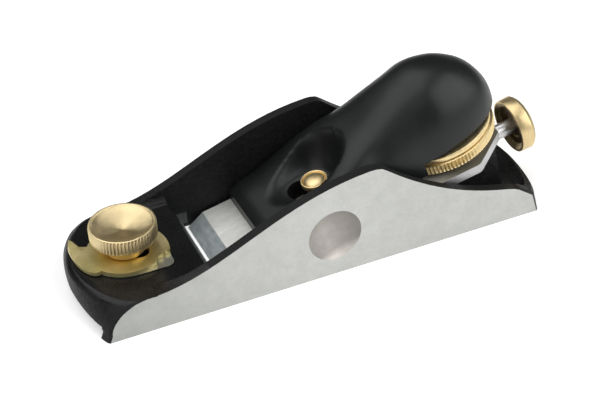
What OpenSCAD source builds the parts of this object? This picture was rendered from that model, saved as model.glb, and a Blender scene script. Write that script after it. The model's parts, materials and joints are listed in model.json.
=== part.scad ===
// Low-angle block plane: a cast body with an adjustable mouth, a bevel-up blade on a 12 degree bed,
// a domed lever cap locked by a wheel, and one screw adjuster for depth and tilt.
// +X runs from toe to heel, +Z is up, and the origin lies on the sole's middle line.

/* [Body casting] */
// Width across the two ground cheeks
body_w = 49; // [48:0.5:52]
// Thickness of each cheek
cheek_t = 3.5; // [3:0.1:3.7]
// Height of the cheeks at their peak
cheek_peak_z = 35; // [33:0.5:36]
// Height of the front deck above the sole
deck_z = 12.3; // [12:0.1:13]
// Thickness of the sole behind the blade's bed
floor_z = 4.2; // [3.5:0.1:5]
// Radius of the round finger recess in each cheek
recess_r = 9; // [7:0.5:10]
// Depth of the finger recess
recess_depth = 1.7; // [1:0.1:2]

/* [Mouth] */
// Thickness of the sliding toe piece
toe_t = 4.1; // [3.6:0.1:4.3]
// Gap between the toe piece and the blade's edge with the mouth closed
mouth_gap = 0.8; // [0.8:0.1:2]
// How far the toe piece slides forwards to open the mouth
mouth_travel = 2.2; // [1:0.1:2.4]
// How far the lever swings to open the mouth
lever_swing = 34; // [30:1:36]

/* [Blade] */
// Width of the blade
blade_w = 40; // [38:0.5:40]
// Thickness of the blade
blade_t = 3.2; // [2.8:0.1:3.4]
// Angle of the ground bevel to the blade's flat side
bevel_angle = 27; // [25:1:30]
// Angle of the bed above the sole
bed_angle = 12; // [12:0.5:12.5]

/* [Locking wheel] */
// Radius of the locking wheel over its knurl
wheel_r = 19.6; // [18:0.1:19.8]
// Height of the locking wheel's knurled band
wheel_band_h = 4; // [3.5:0.1:4.2]

/* [Adjuster] */
// Radius of the adjuster spindle
spindle_r = 2.6; // [2.2:0.1:2.8]
// Radius of the adjuster's knob
adjuster_r = 9.4; // [8:0.1:10]
// How far below the blade the spindle runs
spindle_drop = 5.1; // [5:0.1:5.5]

/* [Hidden] */
$fn = 64;

face_gap = 0.05;         // between flat faces of pieces that slide on each other
run_gap = 0.04;          // radial running clearance of a shaft in its hole
half_w = body_w / 2;
inner_half_w = half_w - cheek_t;

// Heel and mouth along X
heel_tip_x = 78.8;
slot_half_w = 20.8;      // half width of the toe piece's slot
slot_z = toe_t + 0.1;
bed_front_x = -32;       // thin front end of the bed
ramp_end_x = 15;         // rear end of the front bed
edge_s = -34.3;          // cutting edge, measured along the bed
bed_z = 7.25;            // height of the bed's plane above the origin
mouth_x = edge_s * cos(bed_angle) - mouth_gap;
lip_slope = tan(25);   // the mouth's front wall leans forwards by this much per unit of height
deck_rear_x = mouth_x - lip_slope * deck_z;
deck_fillet = 3;         // round where the deck's top meets the cheeks

// Front knob, its stud and the lever
knob_x = -60.2;
stud_r = 3;
lever_t = 1.4;
pad_h = 0.35;            // ground pad raised on the deck, on which the lever turns
pad_r = 12.5;
pad_rear_x = -48.1;
lever_z = deck_z + pad_h + face_gap;
lever_top_z = lever_z + lever_t;
pivot_x = 5.7;           // the lever's pivot pin, measured from the stud at rest
pivot_y = 6.9;
lever_pin_r = 1.5;
stud_slot_r = stud_r + 0.1;

// Cap screw and rear adjuster, measured along the bed
screw_s = 6.8;
screw_r = 3;
screw_head_r = 4.5;
screw_top_t = 11.6;
hollow_t = 9.7;          // lowest level of the hollow round the screw
post_s = 58;
post_r = 5;
pin_s = 45;
pin_r = 2;
knob_s = 77.75;
rib_front_s = 34;
rib_rear_s = 66;
rib_half_w = 12;

// Locking wheel, in a frame tilted on the bed
wheel_s = 51.8;
wheel_t = 5.75;
wheel_tilt = 6;
flange_h = 1.7;
boss_foot = wheel_band_h + flange_h + 1.2;
boss_top = 26.3;
wheel_room_r = 21.9;     // round clearance in the lever cap over the wheel
wheel_room_z = 7;

// Nose levels: [height, where the sides end, where the tip reaches, squareness of the outline]
NOSE = [[2.2, -73.5, -77.6, 1.8], [4.2, -73.2, -79.1, 1.65], [6.5, -72, -78.8, 1.65],
        [9.2, -69.5, -78.9, 1.65], [10.8, -66.8, -79, 1.65], [11.6, -65, -78.3, 1.7], [12.28, -61.6, -76.7, 1.8]];

// Lever cap sections along the bed:
// [distance, half width, height of lower edge, height of crown, squareness of the arch]
CAP = [[-17.6, 19.6, 3.25, 8.6, 5], [-14, 19.8, 3.25, 10.3, 6], [-8, 20, 3.25, 11.6, 6],
       [0, 20, 3.3, 14.6, 6],
       [8, 19.6, 3.5, 19, 5], [16, 18.8, 4.5, 23, 4], [24, 18, 5.5, 26.3, 3], [32, 17.7, 6.3, 29.9, 2.6],
       [40, 17.8, 7.5, 33.2, 2.3], [48, 17.8, 12, 35.4, 2.2], [56, 16.6, 12.9, 34.4, 2.2],
       [62, 14.4, 13.5, 31.7, 2.2],
       [67, 11.2, 14, 27.7, 2.2], [70.5, 6.8, 14.4, 22.2, 2.2], [71.5, 3, 14.5, 18.4, 2.2]];
CAVITY = [[22, 13, 2, 12, 3], [28, 14.3, 2, 21, 2.6], [36, 14.7, 2, 27, 2.4], [46, 14.8, 2, 31.4, 2.2],
          [56, 13.4, 2, 31, 2.2], [62, 10.8, 2, 27.6, 2.2], [66.5, 7, 2, 22, 2.2], [68.4, 3, 2, 17.5, 2.2]];

// ---- helpers ----

// Point at t on a cubic curve with four control points
function bezier(p, t) = pow(1 - t, 3) * p[0] + 3 * pow(1 - t, 2) * t * p[1]
                      + 3 * (1 - t) * t * t * p[2] + pow(t, 3) * p[3];
function bezier_points(p, steps) = [for (i = [0:steps]) bezier(p, i / steps)];

// Smooth value of column c of a table of stations at distance s
function slope(tab, i, c) = let (a = max(i - 1, 0), b = min(i + 1, len(tab) - 1))
    (tab[b][c] - tab[a][c]) / (tab[b][0] - tab[a][0]);
function span(tab, s, i = 0) = (i >= len(tab) - 2 || s < tab[i + 1][0]) ? i : span(tab, s, i + 1);
function smooth(tab, s, c) = let (
    i = span(tab, s),
    h = tab[i + 1][0] - tab[i][0],
    t = (s - tab[i][0]) / h)
    (2 * pow(t, 3) - 3 * t * t + 1) * tab[i][c] + (pow(t, 3) - 2 * t * t + t) * h * slope(tab, i, c)
    + (3 * t * t - 2 * pow(t, 3)) * tab[i + 1][c] + (pow(t, 3) - t * t) * h * slope(tab, i + 1, c);

function signed_pow(v, p) = sign(v) * pow(abs(v), p);

// Frame of the bed: X along the bed towards the heel, Z away from it
module on_bed() { translate([0, 0, bed_z]) rotate([0, -bed_angle, 0]) children(); }
module on_wheel() { on_bed() translate([wheel_s, 0, wheel_t]) rotate([0, -wheel_tilt, 0]) children(); }
module on_spindle(s) { on_bed() translate([s, 0, -spindle_drop]) rotate([0, 90, 0]) children(); }

// Prism across the body, from points [x, z]
module across(points, width) {
    rotate([90, 0, 0]) translate([0, 0, -width / 2]) linear_extrude(width) polygon(points);
}

// Rounded end in plan at height z: flat sides from root_x to flat_x, the middle reaches tip_x
module end_level(z, root_x, flat_x, tip_x, roundness = 2, half = half_w, steps = 24) {
    translate([0, 0, z]) linear_extrude(0.02)
        polygon(concat([[root_x, half], [root_x, -half]], [for (i = [0:steps]) let (a = -90 + 180 * i / steps)
            [flat_x + (tip_x - flat_x) * pow(cos(a), 2 / roundness),
             half * signed_pow(sin(a), 2 / roundness)]]));
}

// Outline with parallel sides, from s0 to s1, and round ends
module slot_2d(s0, s1, r) {
    translate([s0, -r]) square([s1 - s0, 2 * r]);
    translate([s0, 0]) circle(r);
    translate([s1, 0]) circle(r);
}

// Smaller of two heights, blended over k
function soft_min(a, b, k) = let (h = max(k - abs(a - b), 0) / k) min(a, b) - h * h * k / 4;

// Floor of the hollow round the screw: level near the screw, steep towards the heel, long towards the toe
function hollow(s, y) = let (
    d = s - screw_s,
    r = sqrt(pow(d * (d > 0 ? 1 : 0.5), 2) + pow(0.95 * y, 2)))
    hollow_t + 14 * pow(max(r - 4.6, 0) / 7.1, 2.2);

// Closed skin over the arched sections of a table
module arched_skin(tab, steps, arc, with_hollow) {
    s0 = tab[0][0];
    s1 = tab[len(tab) - 1][0];
    rings = [for (k = [0:steps]) let (
        s = s0 + (s1 - s0) * sin(90 * k / steps),
        w = smooth(tab, s, 1), e = smooth(tab, s, 2), h = smooth(tab, s, 3), n = smooth(tab, s, 4))
        [for (j = [0:arc]) let (
            a = 180 * j / arc,
            r = pow(pow(abs(cos(a)), n) + pow(sin(a), n), -1 / n),
            t = e + (h - e) * sin(a) * r)
            [s, w * cos(a) * r, with_hollow ? soft_min(t, hollow(s, w * cos(a) * r), 2.5) : t]]];
    count = arc + 1;
    points = [for (r = rings) each r];
    faces = concat(
        [for (k = [0:steps - 1], j = [0:arc]) let (
            a = k * count + j, b = k * count + (j + 1) % count) [b, a, b + count]],
        [for (k = [0:steps - 1], j = [0:arc]) let (
            a = k * count + j, b = k * count + (j + 1) % count) [b + count, a, a + count]],
        [[for (j = [0:arc]) j]],
        [[for (j = [arc:-1:0]) steps * count + j]]);
    polyhedron(points, faces);
}

// ---- body ----

CHEEK_RISE = [[-62, deck_z], [-37.5, deck_z], [-19.6, cheek_peak_z - 2.5], [12.6, cheek_peak_z]];
CHEEK_FALL = [[18.5, cheek_peak_z - 1.7], [30.8, 23.7], [44.5, 16.2], [62.6, 12.4]];

module side_profile() {
    peak = [[14.6, cheek_peak_z], [16.6, cheek_peak_z - 0.4]];
    across(concat([[-82, 0], [-82, deck_z]], bezier_points(CHEEK_RISE, 20), peak,
                  bezier_points(CHEEK_FALL, 16), [[68, 10.7], [72, 8.4], [75, 7.6], [80, 7.4], [80, 0]]),
           body_w);
}

module plan_envelope() {
    nose_root_x = -58;
    foot_top_z = NOSE[0][0];
    levels = 12;
    // foot of the rails beside the toe piece, drawn in above the sole
    hull() {
        end_level(0, nose_root_x, -74.4, -78.5, 1.8);
        end_level(foot_top_z, nose_root_x, NOSE[0][1], NOSE[0][2], NOSE[0][3]);
    }
    hull() for (i = [0:levels]) let (z = foot_top_z + (deck_z - 0.02 - foot_top_z) * sin(90 * i / levels))
        end_level(z, nose_root_x, smooth(NOSE, z, 1), smooth(NOSE, z, 2), smooth(NOSE, z, 3));
    translate([nose_root_x - 0.1, -half_w, 0]) cube([66 - nose_root_x, body_w, cheek_peak_z]);
    hull() {
        end_level(0, 65, 74.2, heel_tip_x, 1.7);
        end_level(7, 65, 72.1, 77.8, 1.7);
        end_level(11, 65, 66.5, 75.6, 1.8);
    }
}

// Space between the cheeks, above the bed, the floor and the deck's rear wall
module throat_space() {
    // the bed lies a face_gap below the blade
    bed_at = function (x) bed_z - face_gap / cos(bed_angle) + x * tan(bed_angle);
    lip_at = function (z) mouth_x - lip_slope * z;
    relief_z = 5.8;
    relief_rear_x = -33;
    across([[deck_rear_x, 60], [deck_rear_x, deck_z], [lip_at(slot_z), slot_z], [lip_at(slot_z), -1],
            [bed_front_x, -1], [bed_front_x, bed_at(bed_front_x)], [ramp_end_x, bed_at(ramp_end_x)],
            [ramp_end_x + 3, floor_z], [64, floor_z], [64, 60]], 2 * inner_half_w);
    over_deck();
    // milled relief in both cheeks beside the mouth
    across([[lip_at(relief_z), relief_z], [lip_at(1), 1], [relief_rear_x, 1], [relief_rear_x, relief_z]],
           2 * inner_half_w + 0.5);
    // bowl of the heel
    translate([63.9, -inner_half_w, floor_z]) cube([3.2, 2 * inner_half_w, 60]);
    hull() {
        end_level(floor_z, 65, 66.5, 69.6, 1.9, inner_half_w);
        end_level(5.5, 65, 68, 73.2, 1.9, inner_half_w);
        end_level(6.5, 65, 69, 75.2, 1.9, inner_half_w);
        end_level(7.4, 65, 69.6, 76.5, 1.9, inner_half_w);
        end_level(14, 65, 70.4, 77.2, 1.9, inner_half_w);
    }
}

// Space above the deck, with a fillet up to each cheek
module over_deck() {
    flat = inner_half_w - deck_fillet;
    rounded = [for (i = [0:6]) let (a = 15 * i)
        [flat + deck_fillet * sin(a), deck_z + deck_fillet * (1 - cos(a))]];
    translate([-64, 0, 0]) rotate([90, 0, 90]) linear_extrude(64.4 + deck_rear_x) polygon(concat(
        rounded, [[inner_half_w, 60], [-inner_half_w, 60]],
        [for (i = [6:-1:0]) [-rounded[i][0], rounded[i][1]]]));
}

// Rear support under the blade, with the pivot's bore and a channel for the spindle and its carriage
module rear_support() {
    depth = 10.4;
    difference() {
        intersection() {
            on_bed() translate([rib_front_s, -rib_half_w, -30])
                cube([rib_rear_s - rib_front_s, 2 * rib_half_w, 30 - face_gap]);
            translate([20, -20, 1]) cube([50, 40, 40]);
        }
        on_bed() translate([post_s, 0, -depth]) cylinder(r = post_r + run_gap, h = depth + 1);
        on_bed() translate([rib_front_s - 1, -5.4, -depth]) cube([post_s - rib_front_s - 3.4, 10.8, depth + 1]);
        on_bed() translate([rib_front_s - 1, -4.2, -depth]) cube([rib_rear_s - rib_front_s + 6, 8.4, depth + 1]);
    }
}

module lever_pad() {
    corner_r = 2.5;
    translate([0, 0, deck_z - 1]) linear_extrude(1 + pad_h) hull() {
        translate([knob_x, 0]) circle(pad_r);
        for (side = [-1, 1]) translate([pad_rear_x - corner_r, side * (pad_r - corner_r)]) circle(corner_r);
    }
}

module recess(side) {
    ball_r = (recess_r * recess_r + recess_depth * recess_depth) / (2 * recess_depth);
    translate([0.2, side * (half_w - recess_depth + ball_r), 14.8]) sphere(ball_r, $fn = 96);
}

module body_casting() {
    color("dimgray") union() {
        difference() {
            union() {
                difference() {
                    intersection() {
                        side_profile();
                        plan_envelope();
                    }
                    throat_space();
                }
                lever_pad();
            }
            translate([-90, -slot_half_w, -1]) cube([90 + bed_front_x, 2 * slot_half_w, slot_z + 1]);
            for (side = [-1, 1]) recess(side);
            // slot for the toe stud, and the lever pin's hole
            translate([knob_x, 0, 0]) linear_extrude(deck_z + 1)
                slot_2d(-mouth_travel - 0.3, 0.3, stud_r + 0.3);
            translate([knob_x + pivot_x, pivot_y, deck_z - 6]) cylinder(r = lever_pin_r, h = 7);
            on_bed() translate([screw_s, 0, -8]) cylinder(r = screw_r + run_gap, h = 9);
        }
        rear_support();
    }
}

// Steel pin pressed into the deck, on which the lever swings
module lever_pin() {
    color("silver") translate([knob_x + pivot_x, pivot_y, deck_z - 6])
        cylinder(r = lever_pin_r, h = 6 + pad_h + face_gap + lever_t);
}

// ---- adjustable mouth ----

module toe_piece() {
    half = slot_half_w - 0.1;
    front_x = -72;
    stud_root_r = stud_r - 0.5;
    color("darkgray") difference() {
        across([[front_x, 0], [front_x, toe_t - 0.6], [front_x + 0.6, toe_t],
                [mouth_x - lip_slope * toe_t, toe_t], [mouth_x, 0]], 2 * half);
        translate([knob_x, 0, 0.8]) cylinder(r = stud_root_r, h = toe_t);
    }
}

module toe_stud() {
    root_r = stud_r - 0.5;
    color("silver") translate([knob_x, 0, 0]) {
        translate([0, 0, 0.8]) cylinder(r = root_r, h = toe_t - 0.8);
        translate([0, 0, toe_t]) cylinder(r = stud_r, h = 17.6 - toe_t);
    }
}

// Where the stud stands in the lever once the lever has swung by a degrees: each degree moves the stud
// forwards by the same step
function stud_point(a) = let (x = -mouth_travel * a / lever_swing - pivot_x, y = -pivot_y)
    [pivot_x + x * cos(a) - y * sin(a), pivot_y + x * sin(a) + y * cos(a)];
function slot_side(a, side) = let (d = stud_point(a + 0.5) - stud_point(a - 0.5))
    stud_point(a) + side * stud_slot_r / norm(d) * [-d[1], d[0]];

module lever_outline() {
    difference() {
        union() {
            circle(12.4);
            // stop wing towards the mouth
            polygon(concat([[0, 0]], bezier_points([[10.6, 6.4], [13.2, 3.6], [13.7, -2], [12.4, -6.4]], 8),
                           [[10.6, -6.8]]));
        }
        rotate(-48) translate([14.4, 0]) circle(3);
    }
    // broad finger arm towards the toe
    polygon(concat([[-6, -4], [-9.8, -6.8]],
                   bezier_points([[-10.6, -7.5], [-12.6, -8], [-14.2, -5.4], [-15.2, -2.4]], 6),
                   bezier_points([[-15.3, -2], [-16, 0.9], [-16.5, 4.6], [-16.2, 8.6]], 6),
                   bezier_points([[-15.4, 10.2], [-13.8, 8.6], [-12.4, 6], [-8, 6.2]], 8)));
}

module eccentric_lever() {
    spare = 3;
    angles = [for (i = [0:16]) -spare + (lever_swing + 2 * spare) * i / 16];
    color("goldenrod") translate([knob_x, 0, lever_z]) {
        linear_extrude(lever_t) difference() {
            lever_outline();
            translate([pivot_x, pivot_y]) circle(lever_pin_r + run_gap);
            polygon(concat([for (a = angles) slot_side(a, 1)],
                           [for (i = [16:-1:0]) slot_side(angles[i], -1)]));
            for (a = [angles[0], angles[16]]) translate(stud_point(a)) circle(stud_slot_r - 0.03);
        }
        // the arm's tip curls up for the finger
        hull() {
            translate([0, 0, 0.3]) linear_extrude(lever_t - 0.3)
                polygon([[-15.6, 3], [-12.4, 5], [-12.6, 6.4], [-14.8, 8.8], [-16.1, 7]]);
            translate([0, 0, 2]) linear_extrude(1.1) polygon([[-16.2, 7.6], [-15.3, 10.2], [-14.4, 8.9]]);
        }
    }
}

module front_knob() {
    rim_r = 10.6;
    top_z = 24.2;
    band_z = 19.3;
    hub_r = 6.4;
    dish_depth = 2.8;
    base_z = lever_top_z + face_gap;
    color("gold") translate([knob_x, 0, 0]) rotate_extrude() polygon([
        [0, 17.7], [stud_r + run_gap, 17.7], [stud_r + run_gap, base_z], [hub_r, base_z], [hub_r, 16.6],
        [7.2, 17.6], [rim_r - 0.7, 18.7], [rim_r, band_z], [rim_r, top_z - 0.5], [rim_r - 0.4, top_z],
        [rim_r - 0.8, top_z], [rim_r - 1.1, top_z - 0.3], [0, top_z - dish_depth]]);
}

// ---- blade ----

module blade() {
    run = blade_t / tan(bevel_angle);
    rear_s = 69.5;
    shoulder_s = 56.3;
    color("lightgray") on_bed() difference() {
        intersection() {
            linear_extrude(blade_t) polygon([[edge_s, -blade_w / 2], [shoulder_s, -blade_w / 2], [rear_s, -9.5],
                                             [rear_s, 9.5], [shoulder_s, blade_w / 2], [edge_s, blade_w / 2]]);
            across([[edge_s, 0], [edge_s + run, blade_t], [rear_s + 1, blade_t], [rear_s + 1, 0]], blade_w + 1);
        }
        translate([0, 0, -1]) linear_extrude(blade_t + 2) slot_2d(screw_s - 7, screw_s + 6, screw_r + 1.3);
        translate([pin_s, 0, -1]) cylinder(r = pin_r + run_gap, h = blade_t + 2);
    }
}

// ---- lever cap ----

module lever_cap() {
    keyhole_r = screw_head_r + 0.4;
    color("#202124") on_bed() difference() {
        union() {
            difference() {
                arched_skin(CAP, 56, 44, true);
                arched_skin(CAVITY, 20, 24, false);
                translate([wheel_s, 0, wheel_t]) rotate([0, -wheel_tilt, 0])
                    translate([0, 0, -6]) cylinder(r = wheel_room_r, h = 6 + wheel_room_z);
            }
            // boss for the stud, from the crown down to the wheel
            translate([wheel_s, 0, wheel_t]) rotate([0, -wheel_tilt, 0])
                translate([0, 0, boss_foot]) cylinder(r = 6.5, h = boss_top - boss_foot);
        }
        translate([wheel_s, 0, wheel_t]) rotate([0, -wheel_tilt, 0]) cylinder(r = stud_r, h = 18);
        translate([screw_s, 0, 0]) cylinder(r = screw_r + 0.5, h = 20);
        translate([screw_s - 4.8, -screw_r - 0.5, 0]) cube([4.8, 2 * screw_r + 1, 20]);
        translate([screw_s - 4.8, 0, 0]) cylinder(r = keyhole_r, h = 20);
        // flat seat for the screw's head
        translate([screw_s, 0, screw_top_t - 2.2]) cylinder(r = keyhole_r, h = 10);
    }
}

module wheel_stud() {
    tip_r = 2;
    color("silver") on_wheel() {
        translate([0, 0, -0.9]) cylinder(r = stud_r, h = 18.9);
        translate([0, 0, -2]) cylinder(r = tip_r, h = 2);
    }
}

// Washer, captive on the stud's tip, that the wheel presses on the blade
module thrust_washer() {
    color("silver") on_bed() translate([wheel_s, 0, blade_t + face_gap]) difference() {
        cylinder(r = 5, h = 0.9);
        translate([0.2, 0, -1]) cylinder(r = 2.3, h = 3);
    }
}

module lock_wheel() {
    groove_z = wheel_band_h;
    band_foot = -0.15;
    top_z = wheel_band_h + flange_h;
    color("gold") on_wheel() rotate_extrude($fn = 96) polygon([
        [stud_r + run_gap, -0.8], [5.5, -0.8], [5.5, band_foot],
        [wheel_r - 1, band_foot], [wheel_r, band_foot + 0.5], [wheel_r, groove_z - 0.5],
        [wheel_r - 0.5, groove_z - 0.2], [wheel_r - 1.1, groove_z], [wheel_r - 0.7, groove_z + 0.25], [wheel_r - 0.7, top_z - 0.3],
        [wheel_r - 1, top_z], [stud_r + run_gap, top_z]]);
}

module cap_screw() {
    color("gold") on_bed() translate([screw_s, 0, 0]) {
        translate([0, 0, -7.6]) cylinder(r = screw_r, h = 17.2);
        rotate_extrude() polygon(concat(
            [[0, screw_top_t - 2.1], [screw_head_r - 0.5, screw_top_t - 2.1], [screw_head_r, screw_top_t - 1.6],
             [screw_head_r, screw_top_t - 0.2], [screw_head_r - 0.2, screw_top_t], [screw_head_r - 0.6, screw_top_t]],
            [for (a = [10:10:90]) [3.9 * cos(a), screw_top_t - 1.3 + 1.9 * sin(a)]]));
    }
}

// ---- adjuster ----

module pivot_post() {
    color("silver") difference() {
        on_bed() translate([post_s, 0, -10]) cylinder(r = post_r, h = 9.6);
        on_spindle(post_s - 8) cylinder(r = spindle_r + run_gap, h = 16);
    }
}

module adjuster_spindle() {
    thread_r = spindle_r - 0.15;
    thread_end_s = 51;
    color("silver") {
        on_spindle(thread_end_s) cylinder(r = spindle_r, h = knob_s + 4.2 - thread_end_s);
        on_spindle(37) cylinder(r = thread_r, h = thread_end_s - 37);
    }
}

module ring_on_spindle(s, r, t) {
    on_spindle(s) difference() {
        cylinder(r = r, h = t);
        translate([0, 0, -1]) cylinder(r = spindle_r, h = t + 2);
    }
}

// Thrust collar in front of the pivot post
module spindle_collar() { color("silver") ring_on_spindle(post_s - post_r - 1.6, 4, 1.5); }

// Snap ring behind the pivot post
module spindle_clip() { color("gray") ring_on_spindle(post_s + post_r + 0.1, 3.8, 0.8); }

module adjuster_knob() {
    band = 4.2;
    r = adjuster_r;
    color("gold") on_spindle(knob_s) rotate_extrude() polygon(concat(
        [[spindle_r, 2], [4.2, 2], [4.6, 1.6], [r - 2.6, 1.6], [r - 1.1, 0.1], [r - 0.9, 0], [r - 0.3, 0],
         [r, 0.3],
         [r + 0.2, band]],
        [for (a = [10:10:90]) [(r + 0.2) * cos(a), band + 3.2 * sin(a)]], [[0, 4.7], [spindle_r, 4.7]]));
}

// Small screw that locks the knob on the spindle
module knob_grub_screw() {
    color("dimgray") on_spindle(knob_s) translate([0, 0, 3.2]) rotate([0, 90, 0])
        translate([0, 0, spindle_r]) cylinder(r = 1.2, h = adjuster_r - spindle_r - 1.4);
}

module blade_carriage() {
    color("darkkhaki") difference() {
        on_bed() translate([pin_s - 4.5, -4.6, -spindle_drop - 4.2]) cube([8, 9.2, spindle_drop + 4]);
        on_spindle(pin_s - 8) cylinder(r = spindle_r - 0.15 + run_gap, h = 16);
        on_bed() translate([pin_s, 0, -2.2]) cylinder(r = pin_r, h = 4);
    }
}

// Pin in the carriage that drives the blade
module drive_pin() {
    color("silver") on_bed() translate([pin_s, 0, -2.2]) cylinder(r = pin_r, h = 2.2 + blade_t - 0.3);
}

body_casting();
lever_pin();
toe_piece();
toe_stud();
eccentric_lever();
front_knob();
blade();
lever_cap();
wheel_stud();
thrust_washer();
lock_wheel();
cap_screw();
pivot_post();
adjuster_spindle();
spindle_collar();
spindle_clip();
adjuster_knob();
knob_grub_screw();
blade_carriage();
drive_pin();
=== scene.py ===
import json
import math

import bmesh
import bpy
from mathutils import Matrix, Vector


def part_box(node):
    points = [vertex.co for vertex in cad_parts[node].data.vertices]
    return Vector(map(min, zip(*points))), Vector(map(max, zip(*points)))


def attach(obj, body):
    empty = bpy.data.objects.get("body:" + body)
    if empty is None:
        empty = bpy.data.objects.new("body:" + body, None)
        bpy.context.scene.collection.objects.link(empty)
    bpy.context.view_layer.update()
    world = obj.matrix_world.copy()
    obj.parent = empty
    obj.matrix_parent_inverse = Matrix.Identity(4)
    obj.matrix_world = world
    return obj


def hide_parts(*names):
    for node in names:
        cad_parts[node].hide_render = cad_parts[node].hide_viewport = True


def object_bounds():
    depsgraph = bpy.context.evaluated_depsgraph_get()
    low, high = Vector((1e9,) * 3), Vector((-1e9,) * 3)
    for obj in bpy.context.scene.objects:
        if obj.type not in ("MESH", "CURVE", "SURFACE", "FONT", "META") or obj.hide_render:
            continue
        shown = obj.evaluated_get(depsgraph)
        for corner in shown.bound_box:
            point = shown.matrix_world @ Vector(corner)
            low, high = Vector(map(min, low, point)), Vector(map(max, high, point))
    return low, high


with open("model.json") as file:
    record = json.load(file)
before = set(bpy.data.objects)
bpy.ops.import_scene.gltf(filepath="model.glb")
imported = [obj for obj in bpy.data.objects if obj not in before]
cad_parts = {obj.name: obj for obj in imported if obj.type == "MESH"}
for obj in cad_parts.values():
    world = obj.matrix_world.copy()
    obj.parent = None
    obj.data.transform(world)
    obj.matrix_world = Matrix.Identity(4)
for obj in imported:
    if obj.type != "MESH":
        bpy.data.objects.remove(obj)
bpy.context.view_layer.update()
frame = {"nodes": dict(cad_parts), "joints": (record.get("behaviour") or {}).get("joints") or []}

# A low-angle block plane: finishes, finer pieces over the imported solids, and the studio.
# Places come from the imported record, and outlines are in millimetres.
MM = 0.001
X_AXIS, Z_AXIS = Vector((1, 0, 0)), Vector((0, 0, 1))
scene = bpy.context.scene
cad = frame["nodes"]


# ---- frames and sizes of the plane ----

def joint(name):
    """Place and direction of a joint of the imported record."""
    entry = next(j for j in frame["joints"] if j["name"] == name)
    return Vector(entry["pos_m"]), Vector(entry["axis"]).normalized()


def frame_at(place, z_axis, x_hint):
    """Matrix that carries a piece built round the origin to a place, with its Z along z_axis."""
    z = z_axis.normalized()
    y = z.cross(x_hint).normalized()
    x = y.cross(z)
    out = Matrix((x, y, z)).transposed().to_4x4()
    out.translation = place
    return out


HALF_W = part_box("body_casting")[1][1]
BED_ANGLE = math.radians(12)
pin_place, bed_normal = joint("blade_yaw")
BED_Z = pin_place.z - pin_place.x * math.tan(BED_ANGLE)
bed = Matrix.Translation((0, 0, BED_Z)) @ Matrix.Rotation(-BED_ANGLE, 4, "Y")

wheel_place, wheel_axis = joint("wheel_turn")
spindle_place, spindle_axis = joint("adjuster_turn")
screw_place = joint("cap_screw_turn")[0]
knob_place = joint("front_knob_turn")[0]


def on_bed(place):
    """A place in mm along, across and above the bed, to a hundredth."""
    return [round(value / MM, 2) for value in bed.inverted() @ place]


def half_width(node):
    """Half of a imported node's width across the plane, in mm to a tenth."""
    return round(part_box(node)[1][1] / MM, 1)


# mm along the bed, and the spindle's depth under it
SCREW_S = on_bed(screw_place)[0]
ADJUSTER_S = 77.75
SPINDLE_FRONT_S = 37
SPINDLE_DROP = -on_bed(spindle_place)[2]
SPINDLE_R = 2.6

# radii in mm
WHEEL_R = half_width("lock_wheel")
FRONT_KNOB_R = half_width("front_knob")
ADJUSTER_R = 9.4
STUD_HOLE_R = 3.04

# finger recess in the cheek
RECESS_PLACE = Vector((0.2, 0, 14.8)) * MM
RECESS_R = 9 * MM


# ---- camera ----

CAMERA_PLACE = Vector((-0.13387, -0.32114, 0.25924))
CAMERA_TURNS = (-22.49, 35.285, -2.783)  # azimuth, elevation and roll in degrees
CAMERA_LENS = 78.69


def add_camera():
    azimuth, elevation, roll = (math.radians(turn) for turn in CAMERA_TURNS)
    back = Vector((math.sin(azimuth) * math.cos(elevation), -math.cos(azimuth) * math.cos(elevation),
                   math.sin(elevation)))
    right = Vector((math.cos(azimuth), math.sin(azimuth), 0))
    up = back.cross(right)
    turned_right = math.cos(roll) * right + math.sin(roll) * up
    turned_up = math.cos(roll) * up - math.sin(roll) * right
    data = bpy.data.cameras.new("camera")
    data.sensor_width = 36
    data.lens = CAMERA_LENS
    data.clip_start = 0.01
    camera = bpy.data.objects.new("camera", data)
    camera.matrix_world = Matrix((turned_right, turned_up, back)).transposed().to_4x4()
    camera.matrix_world.translation = CAMERA_PLACE
    scene.collection.objects.link(camera)
    scene.camera = camera


add_camera()


# ---- materials ----

class Tree:
    """Short way of writing a node tree."""

    def __init__(self, tree):
        self.tree = tree

    def feed(self, source, target):
        """Links an output to an input, or gives the input a plain value."""
        if isinstance(source, bpy.types.NodeSocket):
            self.tree.links.new(source, target)
        elif target.type == "RGBA" and len(source) == 3:
            target.default_value = (*source, 1)
        else:
            target.default_value = source

    def add(self, kind, **values):
        """New node. A value goes to the setting of its name or else to the input of its name."""
        node = self.tree.nodes.new(kind)
        for key, value in values.items():
            if hasattr(node, key):
                setattr(node, key, value)
            else:
                self.feed(value, node.inputs[key.replace("_", " ")])
        return node

    def maths(self, operation, *sources):
        node = self.add("ShaderNodeMath", operation=operation)
        for source, target in zip(sources, node.inputs):
            self.feed(source, target)
        return node.outputs[0]

    def vector_maths(self, operation, *sources, **values):
        node = self.add("ShaderNodeVectorMath", operation=operation, **values)
        for source, target in zip(sources, node.inputs):
            self.feed(source, target)
        return node

    def span(self, value, low, high, out_low, out_high, curve="LINEAR"):
        node = self.add("ShaderNodeMapRange", interpolation_type=curve, Value=value, From_Min=low,
                        From_Max=high, To_Min=out_low, To_Max=out_high)
        return node.outputs["Result"]

    def seen_rays(self):
        """1 for the rays of the camera, of mirrors and of glass, 0 for those that light the plane."""
        rays = self.add("ShaderNodeLightPath").outputs
        mirrored = self.maths("MAXIMUM", rays["Is Camera Ray"], rays["Is Glossy Ray"])
        return self.maths("MAXIMUM", mirrored, rays["Is Transmission Ray"])


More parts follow.
